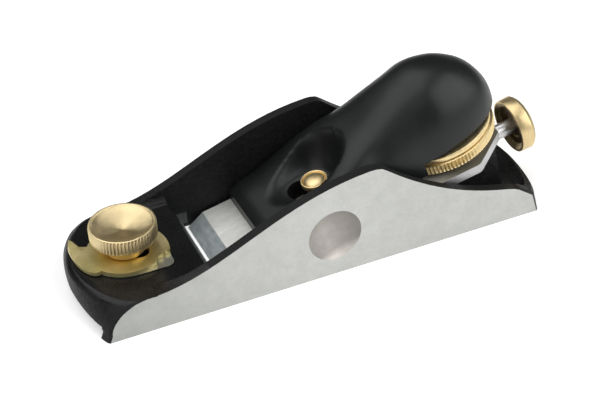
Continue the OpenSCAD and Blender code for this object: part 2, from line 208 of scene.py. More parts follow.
class Finish(Tree):
    """A material, with the patterns that its shader's inputs need."""

    def __init__(self, name):
        self.material = bpy.data.materials.new(name)
        self.material.use_nodes = True
        super().__init__(self.material.node_tree)
        self.shader = self.tree.nodes["Principled BSDF"]

    def set(self, **values):
        """Values or outputs for the shader's inputs."""
        for key, value in values.items():
            self.feed(value, self.shader.inputs[key.replace("_", " ")])

    def colour(self, output):
        self.set(Base_Color=output)

    def roughness(self, output):
        self.set(Roughness=output)

    def bump(self, height, strength, distance):
        node = self.add("ShaderNodeBump", Strength=strength, Distance=distance, Height=height)
        self.set(Normal=node.outputs["Normal"])

    def place(self, scale=(1, 1, 1), turn=(0, 0, 0)):
        """Object coordinates, stretched along the grain and turned with the piece."""
        coords = self.add("ShaderNodeTexCoord").outputs["Object"]
        return self.add("ShaderNodeMapping", Vector=coords, Scale=scale, Rotation=turn).outputs["Vector"]

    def noise(self, vector, scale, detail, roughness):
        node = self.add("ShaderNodeTexNoise", Vector=vector, Scale=scale, Detail=detail,
                        Roughness=roughness)
        return node.outputs["Fac"]

    def ramp(self, value, stops):
        node = self.add("ShaderNodeValToRGB", Fac=value)
        elements = node.color_ramp.elements
        while len(elements) < len(stops):
            elements.new(0.5)
        for element, (place, colour) in zip(elements, stops):
            element.position = place
            element.color = (*colour, 1)
        return node.outputs["Color"]

    def mix(self, factor, a, b, blend="MIX"):
        node = self.add("ShaderNodeMix", data_type="RGBA", blend_type=blend)
        for source, target in ((factor, node.inputs[0]), (a, node.inputs[6]), (b, node.inputs[7])):
            self.feed(source, target)
        return node.outputs[2]

    def multiply(self, a, b):
        return self.mix(1.0, a, b, "MULTIPLY")

    def along(self, direction, centre, reach):
        """0 to 1 from one side of the centre to the other along a direction; reach in metres."""
        way = Vector(direction).normalized()
        dot = self.vector_maths("DOT_PRODUCT", self.place(), way)
        middle = 0.5 - way.dot(Vector(centre)) * 0.5 / reach
        return self.maths("MULTIPLY_ADD", dot.outputs["Value"], 0.5 / reach, middle)

    def away(self, centre, near, far):
        """0 to 1 as the distance from the centre grows from near to far, in metres."""
        gap = self.vector_maths("DISTANCE", self.place(), centre)
        return self.span(gap.outputs["Value"], near, far, 0.0, 1.0)


def grey(tone):
    return (tone, tone, tone)


def cast_enamel(name, gloss):
    """Black enamel on rough cast iron, pitted like orange peel; gloss is its level of shine."""
    m = Finish(name)
    v = m.place()
    coarse = m.noise(v, 800, 3, 0.65)
    fine = m.noise(v, 2800, 2, 0.6)
    m.colour(m.ramp(coarse, [(0.35, (0.004, 0.0041, 0.0044)), (0.75, (0.017, 0.0171, 0.0178))]))
    m.roughness(m.span(fine, 0.3, 0.7, 0.34, 0.58))
    m.bump(m.maths("MULTIPLY_ADD", coarse, 1.6, fine), 0.85, 0.26 * MM)
    m.set(Specular_IOR_Level=gloss)
    return m.material


def deck_enamel():
    """The same enamel where it has flowed out smooth on the front deck."""
    m = Finish("deck_enamel")
    v = m.place()
    waves = m.noise(v, 120, 2, 0.5)
    specks = m.noise(v, 2600, 2, 0.6)
    m.colour(m.ramp(waves, [(0.3, (0.006, 0.0062, 0.0066)), (0.8, (0.012, 0.0124, 0.013))]))
    m.roughness(m.span(specks, 0.35, 0.7, 0.2, 0.36))
    m.bump(waves, 0.3, 0.5 * MM)
    m.set(Specular_IOR_Level=0.22)
    return m.material


def satin_enamel():
    """Enamel on the flats along the cheeks' tops, rubbed to a satin."""
    m = Finish("satin_enamel")
    v = m.place()
    specks = m.noise(v, 1500, 3, 0.6)
    m.colour(m.ramp(specks, [(0.3, (0.009, 0.0092, 0.0092)), (0.75, (0.02, 0.0204, 0.0204))]))
    m.roughness(m.span(specks, 0.3, 0.7, 0.42, 0.56))
    m.bump(specks, 0.2, 0.1 * MM)
    m.set(Specular_IOR_Level=0.14)
    return m.material


def ground_iron():
    """Cheeks and sole: ground cast iron, mottled, with faint lines, and painted shade that makes them
    duller at the toe.
    """
    m = Finish("ground_iron")
    v = m.place()
    lines = m.noise(m.place(scale=(60, 900, 900)), 4, 4, 0.7)
    mottle = m.noise(v, 260, 4, 0.65)
    grain = m.noise(v, 2400, 2, 0.7)
    tone = m.ramp(mottle, [(0.3, (0.5, 0.51, 0.48)), (0.72, (0.6, 0.61, 0.58))])
    tone = m.mix(0.2, tone, m.ramp(lines, [(0.3, grey(0.4)), (0.7, grey(0.66))]))
    tone = m.mix(0.14, tone, m.ramp(grain, [(0.35, grey(0.3)), (0.65, grey(0.75))]))
    # painted shade: darker towards the toe, a little lighter past the middle
    painted_shade = m.ramp(m.along((1, 0, 0), (-30 * MM, 0, 0), 55 * MM), [
        (0.1, (0.74, 0.75, 0.74)), (0.45, grey(0.95)), (0.75, grey(1.05)), (1.0, grey(1.0))])
    m.colour(m.multiply(tone, painted_shade))
    m.roughness(m.span(grain, 0.3, 0.7, 0.45, 0.6))
    m.bump(lines, 0.1, 0.08 * MM)
    m.set(Metallic=0.6)
    return m.material


def recess_iron():
    """Milled finger recess: warmer and darker than the cheek. The light lower rim and the dark rear side
    are light and shade painted into its colour, so they stay where they are in other light."""
    m = Finish("recess_iron")
    v = m.place()
    mottle = m.noise(v, 420, 4, 0.7)
    down = m.ramp(m.along((0.3, 0, -0.95), RECESS_PLACE, RECESS_R), [
        (0.05, grey(0.78)), (0.35, grey(0.92)), (0.8, grey(0.9)), (0.92, grey(1.6))])
    back = m.ramp(m.along((0.96, 0, 0.28), RECESS_PLACE, RECESS_R), [
        (0.05, grey(0.85)), (0.35, grey(1.15)), (0.6, grey(0.9)), (0.95, grey(0.6))])
    tone = m.ramp(mottle, [(0.3, (0.36, 0.335, 0.31)), (0.72, (0.43, 0.405, 0.38))])
    m.colour(m.multiply(m.multiply(tone, down), back))
    m.roughness(m.span(mottle, 0.3, 0.7, 0.36, 0.44))
    m.bump(mottle, 0.04, 0.1 * MM)
    m.set(Metallic=0.8)
    return m.material


def milled_iron():
    """Bare milled iron beside the mouth, dark grey with upright cutter marks."""
    m = Finish("milled_iron")
    marks = m.noise(m.place(scale=(1400, 1400, 120)), 1.0, 3, 0.6)
    m.colour(m.ramp(marks, [(0.3, (0.075, 0.078, 0.08)), (0.7, (0.15, 0.155, 0.155))]))
    m.roughness(m.span(marks, 0.3, 0.7, 0.4, 0.55))
    m.set(Metallic=0.5)
    return m.material


def pad_iron():
    """Ground pad under the lever: bare iron that mirrors the brass, with painted shade, black round the
    stud.
    """
    m = Finish("pad_iron")
    lines = m.noise(m.place(scale=(60, 900, 900)), 4, 3, 0.6)
    # painted shade: black round the stud, where the lever and the knob shade the pad
    painted_shade = m.ramp(m.away((knob_place.x, 0, 12.6 * MM), 9.5 * MM, 10.5 * MM), [
        (0.0, grey(0.04)), (1.0, grey(1.0))])
    tone = m.ramp(lines, [(0.3, (0.36, 0.36, 0.32)), (0.7, (0.5, 0.5, 0.45))])
    m.colour(m.multiply(tone, painted_shade))
    m.roughness(m.span(lines, 0.3, 0.7, 0.3, 0.42))
    m.set(Metallic=0.9)
    return m.material


def blade_steel():
    """Blade: lengthwise grinding streaks on the faces, with painted shade, darker towards the rear."""
    m = Finish("blade_steel")
    turn = (0, BED_ANGLE, 0)
    broad = m.noise(m.place(scale=(20, 240, 240), turn=turn), 1.0, 3, 0.6)
    streaks = m.noise(m.place(scale=(60, 2400, 2400), turn=turn), 1.0, 3, 0.7)
    tone = m.ramp(streaks, [(0.3, (0.66, 0.67, 0.62)), (0.7, (0.88, 0.89, 0.83))])
    tone = m.mix(0.3, tone, m.ramp(broad, [(0.35, grey(0.55)), (0.65, grey(0.88))]))
    # painted shade: darker towards the rear, under the cap and the wheel
    rear = m.ramp(m.along((1, 0, 0), (35 * MM, 0, 0), 20 * MM), [
        (0.2, grey(1.0)), (0.8, (0.27, 0.255, 0.22))])
    m.colour(m.multiply(tone, rear))
    m.roughness(m.span(streaks, 0.3, 0.7, 0.34, 0.48))
    m.bump(streaks, 0.12, 0.05 * MM)
    m.set(Metallic=0.3)
    return m.material


def bevel_steel():
    """The ground bevel: blue-grey with coarse slanted wheel marks."""
    m = Finish("bevel_steel")
    marks = m.noise(m.place(scale=(900, 160, 900), turn=(0, 0, math.radians(24))), 1.0, 3, 0.7)
    blotch = m.noise(m.place(), 300, 3, 0.6)
    tone = m.ramp(marks, [(0.3, (0.28, 0.32, 0.33)), (0.7, (0.5, 0.54, 0.55))])
    m.colour(m.mix(0.35, tone, m.ramp(blotch, [(0.35, (0.2, 0.24, 0.25)), (0.65, (0.46, 0.5, 0.5))])))
    m.roughness(m.span(marks, 0.3, 0.7, 0.4, 0.55))
    m.bump(marks, 0.14, 0.06 * MM)
    m.set(Metallic=0.2)
    return m.material


def turned_brass(name, tint, low, high, lean=BED_ANGLE, lathe_marks=0.0):
    """Turned brass, a little tarnished. lean tilts its marks to the piece's axis, and lathe_marks,
    from 0 to 1, spread its glints round Z."""
    m = Finish(name)
    v = m.place()
    marks = m.noise(m.place(scale=(500, 500, 30), turn=(0, lean, 0)), 1.0, 2, 0.6)
    tarnish = m.noise(v, 130, 3, 0.6)
    dark = tuple(c * 0.72 for c in tint)
    tone = m.ramp(tarnish, [(0.3, dark), (0.7, tint)])
    tone = m.mix(0.25, tone, m.ramp(marks, [(0.3, dark), (0.7, tuple(min(1, c * 1.15) for c in tint))]))
    m.colour(tone)
    m.roughness(m.span(marks, 0.3, 0.7, low, high))
    m.bump(marks, 0.08, 0.04 * MM)
    m.set(Metallic=0.9)
    if lathe_marks:
        round_axis = m.add("ShaderNodeTangent", direction_type="RADIAL", axis="Z")
        m.set(Tangent=round_axis.outputs["Tangent"], Anisotropic=lathe_marks)
    return m.material


def lever_brass():
    """Pressed and plated lever: satin olive-gold, cloudy, with a painted orange reflection near the hub and
    a painted pale highlight at the rim.
    """
    m = Finish("lever_brass")
    v = m.place()
    clouds = m.noise(v, 110, 3, 0.5)
    tone = m.ramp(clouds, [(0.3, (0.42, 0.37, 0.15)), (0.5, (0.56, 0.47, 0.2)), (0.72, (0.7, 0.58, 0.3))])
    # painted reflection: orange near the hub; painted highlight: paler and bluer towards the rim
    hub = m.ramp(m.away((knob_place.x, 0, 14 * MM), 6.5 * MM, 12 * MM), [
        (0.0, (1.15, 0.9, 0.45)), (0.45, (1.0, 0.95, 0.8)), (0.8, grey(1.0)), (1.0, (1.08, 1.1, 1.15))])
    m.colour(m.multiply(tone, hub))
    m.roughness(m.span(m.noise(v, 900, 3, 0.6), 0.3, 0.7, 0.34, 0.48))
    m.set(Metallic=0.8)
    return m.material


def cap_enamel():
    """Lever cap: satin black enamel with a faint grey-green bloom."""
    m = Finish("cap_enamel")
    v = m.place()
    bloom = m.noise(v, 55, 2, 0.5)
    peel = m.noise(v, 900, 2, 0.5)
    m.colour(m.ramp(bloom, [(0.3, (0.006, 0.0072, 0.007)), (0.75, (0.01, 0.0122, 0.0118))]))
    m.roughness(m.span(peel, 0.3, 0.7, 0.34, 0.42))
    m.bump(peel, 0.05, 0.1 * MM)
    m.set(Specular_IOR_Level=0.33)
    return m.material


def plain_steel(name, tone, low, high):
    """Turned steel of the small pieces."""
    m = Finish(name)
    v = m.place()
    marks = m.noise(v, 1800, 3, 0.6)
    m.colour(m.ramp(marks, [(0.3, grey(tone * 0.8)), (0.7, grey(tone))]))
    m.roughness(m.span(marks, 0.3, 0.7, low, high))
    m.set(Metallic=1.0)
    return m.material


CAST = cast_enamel("cast_enamel", 0.28)
NOSE = cast_enamel("nose_enamel", 0.12)
DECK = deck_enamel()
SATIN = satin_enamel()
IRON = ground_iron()
RECESS = recess_iron()
MILLED = milled_iron()
PAD = pad_iron()
BLADE = blade_steel()
BEVEL = bevel_steel()
BLADE_EDGE = plain_steel("blade_edge", 0.6, 0.4, 0.5)
CAP = cap_enamel()
KNOB_BRASS = turned_brass("knob_brass", (0.8, 0.65, 0.37), 0.3, 0.4, lean=0, lathe_marks=0.85)
WHEEL_BRASS = turned_brass("wheel_brass", (0.84, 0.67, 0.36), 0.26, 0.36, lean=math.radians(18))
SMALL_BRASS = turned_brass("small_brass", (0.86, 0.67, 0.36), 0.32, 0.44)
LEVER_BRASS = lever_brass()
# painted shade: a darker copy of the brass for the adjuster knob's dome
DOME_BRASS = turned_brass("dome_brass", (0.52, 0.42, 0.2), 0.34, 0.46)
# painted shade: dark brass for the shaded face in the adjuster knob's recess
SHADE_PAINTED_BRASS = turned_brass("shade_painted_brass", (0.24, 0.16, 0.07), 0.4, 0.55)
STAINLESS = plain_steel("stainless", 0.74, 0.32, 0.38)
STEEL = plain_steel("machined_steel", 0.52, 0.28, 0.4)
DARK_STEEL = plain_steel("dark_steel", 0.1, 0.35, 0.5)


# ---- mesh helpers ----

def smooth_by_angle(mesh, degrees):
    """Smooth faces, with edges sharper than the angle kept sharp."""
    bm = bmesh.new()
    bm.from_mesh(mesh)
    limit = math.radians(degrees)
    for face in bm.faces:
        face.smooth = True
    for edge in bm.edges:
        edge.smooth = len(edge.link_faces) == 2 and edge.calc_face_angle(0) < limit
    bm.to_mesh(mesh)
    bm.free()


def add_piece(name, mesh, body, node):
    """A finished piece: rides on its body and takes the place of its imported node."""
    piece = bpy.data.objects.new(name, mesh)
    scene.collection.objects.link(piece)
    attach(piece, body)
    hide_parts(node)


def plain_mesh(name, make, *modifiers):
    """Mesh of an object made by make(bm), with modifiers (kind, settings) applied."""
    bm = bmesh.new()
    make(bm)
    mesh = bpy.data.meshes.new(name)
    bm.to_mesh(mesh)
    bm.free()
    return with_modifiers(name, mesh, *modifiers)


def with_modifiers(name, mesh, *modifiers):
    """Plain copy of a mesh with modifiers on it. A node tree's inputs are set by socket identifier."""
    holder = bpy.data.objects.new(name + "_work", mesh)
    scene.collection.objects.link(holder)
    for kind, settings in modifiers:
        modifier = holder.modifiers.new(kind, kind)
        for key, value in settings.items():
            if key.startswith("Socket_"):
                modifier[key] = value
            else:
                setattr(modifier, key, value)
    graph = bpy.context.evaluated_depsgraph_get()
    out = bpy.data.meshes.new_from_object(holder.evaluated_get(graph), depsgraph=graph)
    out.name = name
    bpy.data.objects.remove(holder)
    return out


def bevel(width, angle, segments):
    """Bevel modifier for the edges sharper than an angle in degrees; the width is in mm."""
    return ("BEVEL", {"width": width * MM, "segments": segments, "limit_method": "ANGLE",
                      "angle_limit": math.radians(angle), "use_clamp_overlap": True})


def merged_copy(node):
    """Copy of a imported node's mesh with its doubles merged and its flat faces made whole."""
    merge_gap, flat_angle = 0.002 * MM, math.radians(0.4)
    bm = bmesh.new()
    bm.from_mesh(cad[node].data)
    bmesh.ops.remove_doubles(bm, verts=bm.verts, dist=merge_gap)
    bmesh.ops.dissolve_degenerate(bm, dist=merge_gap, edges=bm.edges)
    bmesh.ops.dissolve_limit(bm, angle_limit=flat_angle, verts=bm.verts, edges=bm.edges,
                             delimit={"NORMAL"})
    return bm


def ring(bm, x, r, z, segments):
    """Vertices round an upright axis at x, all in mm; a single one where the radius is 0."""
    if r == 0:
        return [bm.verts.new((x * MM, 0, z * MM))]
    turns = (2 * math.pi * k / segments for k in range(segments))
    return [bm.verts.new(((x + r * math.cos(a)) * MM, r * math.sin(a) * MM, z * MM)) for a in turns]


def lathe(bm, profile, segments):
    """Turns (radius, height) points in mm round Z. The first and last points may lie on the axis."""
    rings = [ring(bm, 0, r, z, segments) for r, z in profile]
    for low, high in zip(rings, rings[1:]):
        for k in range(segments):
            a, b = low[k % len(low)], low[(k + 1) % len(low)]
            c, d = high[(k + 1) % len(high)], high[k % len(high)]
            corners = list(dict.fromkeys((a, b, c, d)))
            if len(corners) > 2:
                bm.faces.new(corners)
    bmesh.ops.recalc_face_normals(bm, faces=bm.faces)
    return rings


# ---- studio ----

FLOOR_GLOW = 0.4
FLOOR_HALF = 3
ROOM_LIGHT = 0.6
CEILING_LIGHT = 0.4
BACKDROP_RISE = (0.25, 0.5)  # the backdrop fades into the dimmer ceiling between these heights
# name, place, width and power
SOFTBOXES = [("key", (1.0, -0.85, 1.0), 1.8, 26.0), ("fill", (-0.9, -0.6, 0.7), 1.2, 5.0),
             ("top", (-0.35, 0.3, 1.2), 1.4, 12.5)]


def add_floor():
    mesh = plain_mesh("floor", lambda bm: bmesh.ops.create_grid(
        bm, x_segments=1, y_segments=1, size=FLOOR_HALF))
    floor = bpy.data.objects.new("floor", mesh)
    floor.location.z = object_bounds()[0][2] - 0.05 * MM
    scene.collection.objects.link(floor)
    m = Finish("floor_white")
    m.set(Base_Color=(0.8, 0.8, 0.8), Roughness=0.9, Specular_IOR_Level=0.0, Emission_Color=(1, 1, 1),
          Emission_Strength=m.maths("MULTIPLY", m.seen_rays(), FLOOR_GLOW))
    mesh.materials.append(m.material)


def light_room():
    """White backdrop where it is seen, and plain room light on the plane, dimmer from the ceiling."""
    world = bpy.data.worlds.new("studio")
    scene.world = world
    world.use_nodes = True
    room = Tree(world.node_tree)
    ways = room.add("ShaderNodeTexCoord").outputs["Generated"]
    height = room.add("ShaderNodeSeparateXYZ", Vector=ways).outputs["Z"]
    rise = room.span(height, *BACKDROP_RISE, 0, 1, "SMOOTHSTEP")
    walls = room.span(room.seen_rays(), 0, 1, ROOM_LIGHT, 1)
    level = room.add("ShaderNodeMix", Factor=rise, A=walls, B=CEILING_LIGHT).outputs["Result"]
    room.feed(level, room.tree.nodes["Background"].inputs["Strength"])


def add_softbox(name, place, width, power):
    data = bpy.data.lights.new(name, "AREA")
    data.shape = "RECTANGLE"
    data.size = data.size_y = width
    data.energy = power
    lamp = bpy.data.objects.new(name, data)
    lamp.location = place
    middle = Vector((0, 0, 20 * MM))
    lamp.rotation_euler = (middle - Vector(place)).to_track_quat("-Z", "Y").to_euler()
    scene.collection.objects.link(lamp)


add_floor()
light_room()
for softbox in SOFTBOXES:
    add_softbox(*softbox)
scene.view_settings.view_transform = "Standard"


# ---- what repeats round a turned piece ----

def cutting_tree():
    """Geometry nodes that cut knurls or a thread into the vertices marked "cut" of a turned piece."""
    tree = bpy.data.node_groups.new("cut_round", "GeometryNodeTree")
    keys = {}
    for name, kind in (("Geometry", "Geometry"), ("Teeth", "Int"), ("Turns per Metre", "Float"),
                       ("Depth", "Float"), ("Sharpness", "Float"), ("Material", "Material")):
        item = tree.interface.new_socket(name, in_out="INPUT", socket_type="NodeSocket" + kind)
        keys[name] = item.identifier
    tree.interface.new_socket("Geometry", in_out="OUTPUT", socket_type="NodeSocketGeometry")

    cut = Tree(tree)
    given = cut.add("NodeGroupInput").outputs
    here = cut.add("GeometryNodeInputPosition").outputs[0]
    x, y, z = cut.add("ShaderNodeSeparateXYZ", Vector=here).outputs
    phase = cut.maths("MULTIPLY", cut.maths("ARCTAN2", y, x), given["Teeth"])
    climb = cut.maths("MULTIPLY", cut.maths("MULTIPLY", z, given["Turns per Metre"]), 2 * math.pi)
    wave = cut.maths("MULTIPLY_ADD", cut.maths("COSINE", cut.maths("ADD", phase, climb)), 0.5, 0.5)
    groove = cut.maths("POWER", wave, given["Sharpness"])
    mark = cut.add("GeometryNodeInputNamedAttribute", data_type="FLOAT", Name="cut").outputs["Attribute"]
    depth = cut.maths("MULTIPLY", cut.maths("MULTIPLY", groove, mark), given["Depth"])
    outward = cut.vector_maths("NORMALIZE", cut.add("ShaderNodeCombineXYZ", X=x, Y=y).outputs[0])
    inward = cut.vector_maths("SCALE", outward.outputs[0], Scale=cut.maths("MULTIPLY", depth, -1.0))
    moved = cut.add("GeometryNodeSetPosition", Geometry=given["Geometry"], Offset=inward.outputs[0])
    whole = cut.add("GeometryNodeRealizeInstances", Geometry=moved.outputs[0])
    painted = cut.add("GeometryNodeSetMaterial", Geometry=whole.outputs[0], Material=given["Material"])
    cut.add("NodeGroupOutput", Geometry=painted.outputs[0])
    return tree, keys


CUT_TREE, CUT_KEYS = cutting_tree()


def turned(name, profile, segments, material, cut=None, teeth=1, depth=0.0, turns=0.0, sharpness=1.0,
           crease=32):
    """Turned piece round Z. cut = (low, high): the heights in mm between which its rim is cut."""
    def in_cut(z):
        return cut and cut[0] - 1e-6 <= z <= cut[1] + 1e-6

    def make(bm):
        layer = bm.verts.layers.float.new("cut")
        rings = lathe(bm, profile, segments)
        widest = max((r for r, z in profile if in_cut(z)), default=0)
        for vertices, (r, z) in zip(rings, profile):
            if in_cut(z) and r > widest - 0.3:
                for vertex in vertices:
                    vertex[layer] = 1.0

    settings = {"Teeth": teeth, "Turns per Metre": turns, "Depth": depth * MM, "Sharpness": sharpness,
                "Material": material}
    inputs = {CUT_KEYS[key]: value for key, value in settings.items()}
    mesh = plain_mesh(name, make, ("NODES", {"node_group": CUT_TREE, **inputs}))
    smooth_by_angle(mesh, crease)
    return mesh


# ---- lever cap ----

# sections in mm: along the bed, half width, lower edge, crown, squareness of the arch
CAP_SECTIONS = [
    (-17.6, 19.6, 3.25, 8.6, 5), (-14, 19.8, 3.25, 10.3, 6), (-8, 20, 3.25, 11.6, 6), (0, 20, 3.3, 14.6, 6),
    (8, 19.6, 3.5, 19, 5), (16, 18.8, 4.5, 23, 4), (24, 18, 5.5, 26.3, 3), (32, 17.7, 6.3, 29.9, 2.6),
    (40, 17.8, 7.5, 33.2, 2.3), (48, 17.8, 12, 35.4, 2.2), (56, 16.6, 12.9, 34.4, 2.2),
    (62, 14.4, 13.5, 31.7, 2.2), (67, 11.2, 14, 27.7, 2.2), (70.5, 6.8, 14.4, 22.2, 2.2),
    (71.5, 3, 14.5, 18.4, 2.2)]
CAVITY_SECTIONS = [
    (22, 13, 2, 12, 3), (28, 14.3, 2, 21, 2.6), (36, 14.7, 2, 27, 2.4), (46, 14.8, 2, 31.4, 2.2),
    (56, 13.4, 2, 31, 2.2), (62, 10.8, 2, 27.6, 2.2), (66.5, 7, 2, 22, 2.2), (68.4, 3, 2, 17.5, 2.2)]
HOLLOW_FLOOR = 9.7      # height of the level floor round the screw
BOSS = (6.9, 26.3, 6.5)  # foot, top and radius of the boss that holds the wheel's stud
WHEEL_ROOM = (-6, 7, 21.9)  # the same of the round clearance over the wheel
KEYHOLE_R = 4.9         # the keyhole's round, and the seat of the screw's head
KEYHOLE_SHIFT = 4.8     # from the screw forwards to the round
NECK_R = 3.5
SEAT_FLOOR = 9.4
CUT_TOP = 22            # the cutters end above the crown
CROWN_SINK = 0.005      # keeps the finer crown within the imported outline


def smooth_value(table, s, column):
    """Smooth curve through one column of the sections, at s along the bed."""
    last = len(table) - 2
    i = next((k for k in range(last) if s < table[k + 1][0]), last)

    def slope(k):
        a, b = max(k - 1, 0), min(k + 1, len(table) - 1)
        return (table[b][column] - table[a][column]) / (table[b][0] - table[a][0])

    h = table[i + 1][0] - table[i][0]
    t = (s - table[i][0]) / h
    return ((2 * t ** 3 - 3 * t * t + 1) * table[i][column] + (t ** 3 - 2 * t * t + t) * h * slope(i)
            + (3 * t * t - 2 * t ** 3) * table[i + 1][column] + (t ** 3 - t * t) * h * slope(i + 1))


def soft_min(a, b, blend):
    """The lower of two heights, rounded where they meet."""
    h = max(blend - abs(a - b), 0) / blend
    return min(a, b) - h * h * blend / 4


def hollow_height(s, y):
    """Wall of the hollow round the screw: level near it, steep towards the heel, long towards the toe."""
    flat_r, wall_r, wall_h, steepness = 4.6, 7.1, 14, 2.2
    d = s - SCREW_S
    r = math.hypot(d * (1 if d > 0 else 0.5), 0.95 * y)
    return HOLLOW_FLOOR + wall_h * (max(r - flat_r, 0) / wall_r) ** steepness


def arched_skin(bm, table, steps, arc, hollow=False):
    """Closed skin over arches that stand across the bed, closer together towards the rear."""
    first, last = table[0][0], table[-1][0]
    arches = []
    for k in range(steps + 1):
        s = first + (last - first) * math.sin(math.pi / 2 * k / steps)
        width, edge, crown, square = (smooth_value(table, s, column) for column in (1, 2, 3, 4))
        arch = []
        for j in range(arc + 1):
            a = math.pi * j / arc
            c, q = math.cos(a), max(math.sin(a), 0)
            r = (abs(c) ** square + q ** square) ** (-1 / square)
            y, t = width * c * r, edge + (crown - edge) * q * r
            if hollow:
                t = soft_min(t, hollow_height(s, y), 2.5)
            arch.append(bm.verts.new((s * MM, y * MM, t * MM)))
        arches.append(arch)
    for low, high in zip(arches, arches[1:]):
        for j in range(arc + 1):
            bm.faces.new((low[j], low[(j + 1) % (arc + 1)], high[(j + 1) % (arc + 1)], high[j]))
    bm.faces.new(arches[0][::-1])
    bm.faces.new(arches[-1])
    bmesh.ops.recalc_face_normals(bm, faces=bm.faces)


def rod(bm, x, foot, top, r, segments=64):
    """Closed upright cylinder at x, in mm."""
    low, high = (ring(bm, x, r, z, segments) for z in (foot, top))
    for k in range(segments):
        bm.faces.new((low[k], low[(k + 1) % segments], high[(k + 1) % segments], high[k]))
    bm.faces.new(low[::-1])
    bm.faces.new(high)


def keyhole_cutters():
    """The keyhole's round, its neck at the screw, the neck's straight sides and the head's seat."""
    def neck_sides(bm):
        middle = Matrix.Translation(((SCREW_S - KEYHOLE_SHIFT / 2) * MM, 0, CUT_TOP / 2 * MM))
        size = Matrix.Diagonal((KEYHOLE_SHIFT * MM, 2 * NECK_R * MM, CUT_TOP * MM, 1))
        bmesh.ops.create_cube(bm, size=1, matrix=middle @ size)

    return [plain_mesh("keyhole", lambda bm: rod(bm, SCREW_S - KEYHOLE_SHIFT, 0, CUT_TOP, KEYHOLE_R)),
            plain_mesh("neck", lambda bm: rod(bm, SCREW_S, 0, CUT_TOP, NECK_R)),
            plain_mesh("neck_sides", neck_sides),
            plain_mesh("seat", lambda bm: rod(bm, SCREW_S, SEAT_FLOOR, CUT_TOP, KEYHOLE_R))]


def boolean(mesh, *steps):
    """Applies exact booleans: each step is (operation, mesh)."""
    for operation, tool_mesh in steps:
        tool = bpy.data.objects.new("tool_work", tool_mesh)
        scene.collection.objects.link(tool)
        mesh = with_modifiers(mesh.name, mesh, (
            "BOOLEAN", {"operation": operation, "object": tool, "solver": "EXACT"}))
        bpy.data.objects.remove(tool)
    return mesh


def make_lever_cap():
    skin = plain_mesh("lever_cap_body", lambda bm: arched_skin(bm, CAP_SECTIONS, 150, 96, hollow=True))
    cavity = plain_mesh("cavity", lambda bm: arched_skin(bm, CAVITY_SECTIONS, 48, 48))
    boss = plain_mesh("boss", lambda bm: rod(bm, 0, *BOSS))
    room = plain_mesh("wheel_room", lambda bm: rod(bm, 0, *WHEEL_ROOM, 160))
    for tool in (boss, room):
        tool.transform(bed.inverted() @ frame_at(wheel_place, wheel_axis, X_AXIS))
    mesh = boolean(skin, ("DIFFERENCE", cavity), ("DIFFERENCE", room), ("UNION", boss),
                   *[("DIFFERENCE", cutter) for cutter in keyhole_cutters()])
    mesh = with_modifiers("lever_cap_body", mesh, bevel(0.35, 38, 3))
    mesh.materials.clear()
    mesh.materials.append(CAP)
    smooth_by_angle(mesh, 40)
    mesh.transform(bed @ Matrix.Translation((0, 0, -CROWN_SINK * MM)))
    add_piece("lever_cap_body", mesh, "cap", "lever_cap")


make_lever_cap()


# ---- turned pieces: each outline is (radius, height) in mm, from the foot up and inwards ----

def make_front_knob():
    r, teeth = FRONT_KNOB_R, 60
    hub = [(STUD_HOLE_R, 17.7), (STUD_HOLE_R, 14.2), (6, 14.2), (6.4, 14.6), (6.4, 16.4), (6.7, 17.2),
           (7.6, 17.9)]
    under = [(r - 1, 18.5), (r - 0.6, 18.8), (r - 0.35, 19.2)]
    band = [(r, z) for z in (19.6, 20.6, 21.8, 23, 23.7)]
    edge = [(r - 0.15, 24.05), (r - 0.4, 24.2), (r - 0.75, 24.2), (r - 0.95, 24.12), (r - 1.1, 23.95),
            (r - 1.35, 23.8)]
    dish = [(7, 23.2), (5, 22.68), (3, 22.15), (1.2, 21.68), (0.5, 21.5), (0, 21.42)]
    mesh = turned("front_knob_knurled", hub + under + band + edge + dish, teeth * 8, KNOB_BRASS,
                  cut=(band[0][1], band[-1][1]), teeth=teeth, depth=0.42, sharpness=0.8)
    mesh.transform(Matrix.Translation((knob_place.x, knob_place.y, 0)))
    add_piece("front_knob_knurled", mesh, "front_knob_body", "front_knob")


def make_lock_wheel():
    r, teeth = WHEEL_R, 100
    hub = [(STUD_HOLE_R, -0.8), (5.3, -0.8), (5.5, -0.6), (5.5, -0.1)]
    under = [(r - 1.3, -0.1), (r - 0.7, 0), (r - 0.2, 0.25)]
    band = [(r, z) for z in (0.55, 1.5, 2.5, 3.3)]
    shoulder = [(r - 0.1, 3.5), (r - 0.4, 3.65), (r - 1.3, 3.7)]
    flange = [(r - 1.3, 4.02), (r - 0.85, 4.06), (r - 0.72, 4.15), (r - 0.72, 5.4), (r - 0.8, 5.55),
              (r - 1.1, 5.68), (r - 1.5, 5.7), (r - 5, 5.7), (8, 5.7), (STUD_HOLE_R, 5.7)]
    mesh = turned("lock_wheel_knurled", hub + under + band + shoulder + flange, teeth * 6, WHEEL_BRASS,
                  cut=(band[0][1], band[-1][1]), teeth=teeth, depth=0.6, sharpness=0.7)
    mesh.transform(frame_at(wheel_place, wheel_axis, X_AXIS))
    add_piece("lock_wheel_knurled", mesh, "lock_wheel_body", "lock_wheel")


